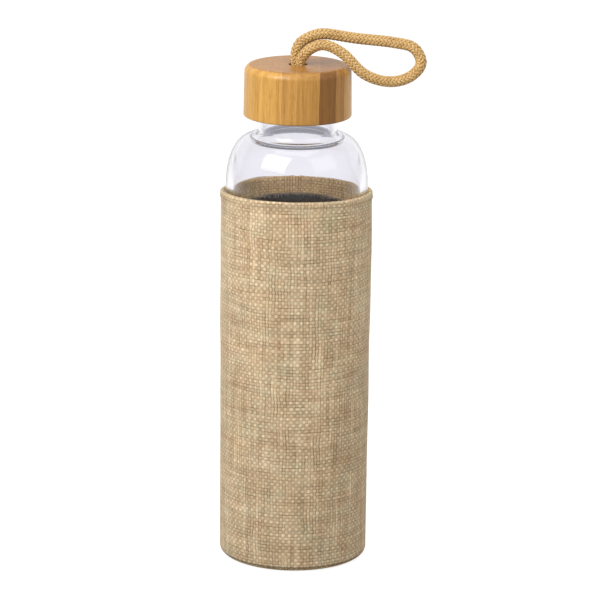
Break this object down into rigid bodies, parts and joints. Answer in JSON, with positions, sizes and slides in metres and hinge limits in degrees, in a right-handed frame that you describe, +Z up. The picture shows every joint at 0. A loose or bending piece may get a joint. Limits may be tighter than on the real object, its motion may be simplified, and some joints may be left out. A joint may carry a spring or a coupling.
{
  "type": "glass water bottle",
  "caption": "Clear glass water bottle with a domed shoulder, a turned bamboo screw cap, a braided cord loop and a woven fabric sleeve with a dark lining.",
  "frame": {"origin": "centre of the flat underside of the sleeve, on the floor", "axes": "+Z up along the bottle's axis, +X towards the end of the cord loop, -Y towards the front"},
  "size_m": [0.0932, 0.0702, 0.2463],
  "materials": {
    "woven_fabric": "coarse plain weave, natural jute look",
    "black_lining": "matte black lining cloth",
    "sewing_thread": "spun thread",
    "clear_glass": "clear blown borosilicate",
    "silicone": "translucent silicone",
    "bamboo": "sanded laminated bamboo, satin",
    "liner_plastic": "white moulded polypropylene",
    "braided_cord": "round braided cord"
  },
  "bodies": {
    "sleeve": {"sleeve_fabric": "woven_fabric", "sleeve_base": "woven_fabric", "sleeve_lining": "black_lining", "sleeve_base_lining": "black_lining", "base_stitching": "sewing_thread", "hem_stitching": "sewing_thread", "side_seam_stitching": "sewing_thread"},
    "bottle": {"glass_bottle": "clear_glass"},
    "seal": {"seal_ring": "silicone"},
    "cap": {"bamboo_cap": "bamboo", "cap_liner": "liner_plastic"},
    "cord_anchor": {"cord_knot": "braided_cord"},
    "cord_rise": {"cord_back_strand": "braided_cord", "cord_front_strand": "braided_cord"},
    "cord_bight": {"cord_loop": "braided_cord"}
  },
  "joints": [
    {"name": "bottle_lift", "type": "slide", "parent": "sleeve", "child": "bottle", "axis": [0, 0, 1], "range_m": [0, 0.18]},
    {"name": "cap_rise", "type": "slide", "parent": "bottle", "child": "seal", "axis": [0, 0, 1], "range_m": [0, 0.0106]},
    {"name": "cap_turn", "type": "hinge", "parent": "seal", "child": "cap", "pos_m": [0, 0, 0.2305], "axis": [0, 0, 1], "range_deg": [0, 900]},
    {"name": "cord_swivel", "type": "hinge", "parent": "cap", "child": "cord_anchor", "pos_m": [0, 0, 0.2305], "axis": [0, 0, 1], "continuous": true},
    {"name": "cord_sway", "type": "hinge", "parent": "cord_anchor", "child": "cord_rise", "pos_m": [0, 0, 0.2331], "axis": [0.4755, -0.8797, 0], "range_deg": [-3, 20]},
    {"name": "cord_flex", "type": "hinge", "parent": "cord_rise", "child": "cord_bight", "pos_m": [0.0055, 0, 0.2425], "axis": [0, -1, 0], "range_deg": [0, 65]}
  ],
  "couplings": [
    {"joint": "cap_rise", "follows": "cap_turn", "m_per_rad": 0.00067323}
  ]
}
